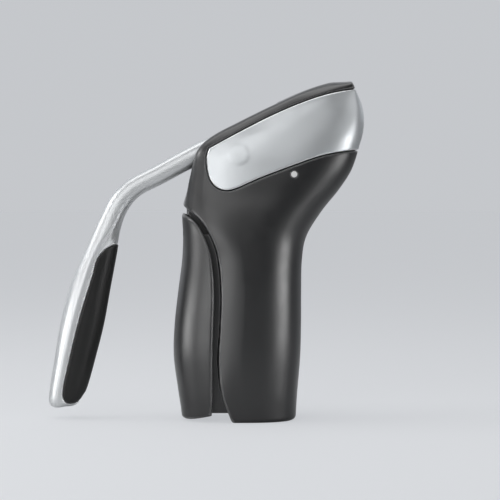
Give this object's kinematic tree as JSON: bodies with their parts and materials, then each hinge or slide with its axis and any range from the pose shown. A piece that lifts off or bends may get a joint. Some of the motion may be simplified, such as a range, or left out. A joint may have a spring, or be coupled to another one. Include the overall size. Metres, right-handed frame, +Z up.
{
  "type": "vertical lever corkscrew",
  "caption": "Upright lever corkscrew with a hand-sized black body, silver head cover, squeeze jaw that grips the bottle neck, and a side lever that drives a worm down through gears.",
  "frame": {"origin": "where the worm's axis meets the surface that the corkscrew stands on", "axes": "+X from the worm's axis towards the nose, away from the lever; +Y from the front cheek to the rear one; +Z up along the worm's axis"},
  "size_m": [0.1975, 0.054, 0.2116],
  "materials": {
    "body_plastic": "satin black, moulded",
    "grip_plastic": "satin black, moulded",
    "cover_metal": "satin silver",
    "lever_metal": "satin, die-cast",
    "white_plastic": "satin white",
    "inner_plastic": "matte dark grey",
    "pad_rubber": "matte black",
    "brass": "plain turned",
    "coated_steel": "low-friction dark coating",
    "steel": "plain steel"
  },
  "bodies": {
    "body": {"front_body_shell": "body_plastic", "rear_body_shell": "body_plastic", "head_cover": "cover_metal", "indicator_dots": "white_plastic", "lever_axle": "steel", "idler_axle": "steel", "guide_rods": "steel", "neck_stop": "inner_plastic", "worm_guide": "brass", "body_neck_pad": "pad_rubber", "jaw_hinge_pin": "steel", "jaw_spring": "steel", "body_wheel_pins": "steel", "shell_screws": "steel"},
    "lever": {"lever_arm": "lever_metal", "lever_grip": "grip_plastic", "lever_gear": "steel", "lever_rivets": "steel"},
    "idler": {"idler_gear": "steel"},
    "carriage": {"carriage": "inner_plastic", "drive_racks": "steel", "worm_bush": "brass"},
    "worm": {"worm": "coated_steel", "worm_collar": "steel"},
    "jaw": {"squeeze_jaw": "body_plastic", "jaw_neck_pad": "pad_rubber", "jaw_wheel_pins": "steel"},
    "front_body_wheel": {"front_body_foil_wheel": "steel"},
    "rear_body_wheel": {"rear_body_foil_wheel": "steel"},
    "front_jaw_wheel": {"front_jaw_foil_wheel": "steel"},
    "rear_jaw_wheel": {"rear_jaw_foil_wheel": "steel"}
  },
  "joints": [
    {"name": "lever_swing", "type": "hinge", "parent": "body", "child": "lever", "pos_m": [0.004, 0, 0.162], "axis": [0, 1, 0], "range_deg": [0, 102]},
    {"name": "idler_spin", "type": "hinge", "parent": "body", "child": "idler", "pos_m": [0.026, 0, 0.12859], "axis": [0, 1, 0], "range_deg": [-240, 0]},
    {"name": "carriage_slide", "type": "slide", "parent": "body", "child": "carriage", "axis": [0, 0, -1], "range_m": [0, 0.0505]},
    {"name": "worm_spin", "type": "hinge", "parent": "carriage", "child": "worm", "pos_m": [0, 0, 0.119], "axis": [0, 0, -1], "range_deg": [0, 2040]},
    {"name": "jaw_squeeze", "type": "hinge", "parent": "body", "child": "jaw", "pos_m": [-0.0235, 0, 0.133], "axis": [0, -1, 0], "range_deg": [0, 1.6], "stiffness_Nm_per_rad": 4, "springref_deg": -2.86, "deforming": ["jaw_spring"]},
    {"name": "front_body_wheel_spin", "type": "hinge", "parent": "body", "child": "front_body_wheel", "pos_m": [0.01622, -0.01136, 0.036], "axis": [0, 0, 1], "continuous": true},
    {"name": "rear_body_wheel_spin", "type": "hinge", "parent": "body", "child": "rear_body_wheel", "pos_m": [0.01622, 0.01136, 0.036], "axis": [0, 0, 1], "continuous": true},
    {"name": "front_jaw_wheel_spin", "type": "hinge", "parent": "jaw", "child": "front_jaw_wheel", "pos_m": [-0.02065, -0.00837, 0.036], "axis": [0, 0, 1], "continuous": true},
    {"name": "rear_jaw_wheel_spin", "type": "hinge", "parent": "jaw", "child": "rear_jaw_wheel", "pos_m": [-0.02065, 0.00837, 0.036], "axis": [0, 0, 1], "continuous": true}
  ],
  "couplings": [
    {"joint": "idler_spin", "follows": "lever_swing", "ratio": -2.3333},
    {"joint": "carriage_slide", "follows": "lever_swing", "m_per_rad": 0.028},
    {"joint": "worm_spin", "follows": "lever_swing", "ratio": 19.548}
  ]
}
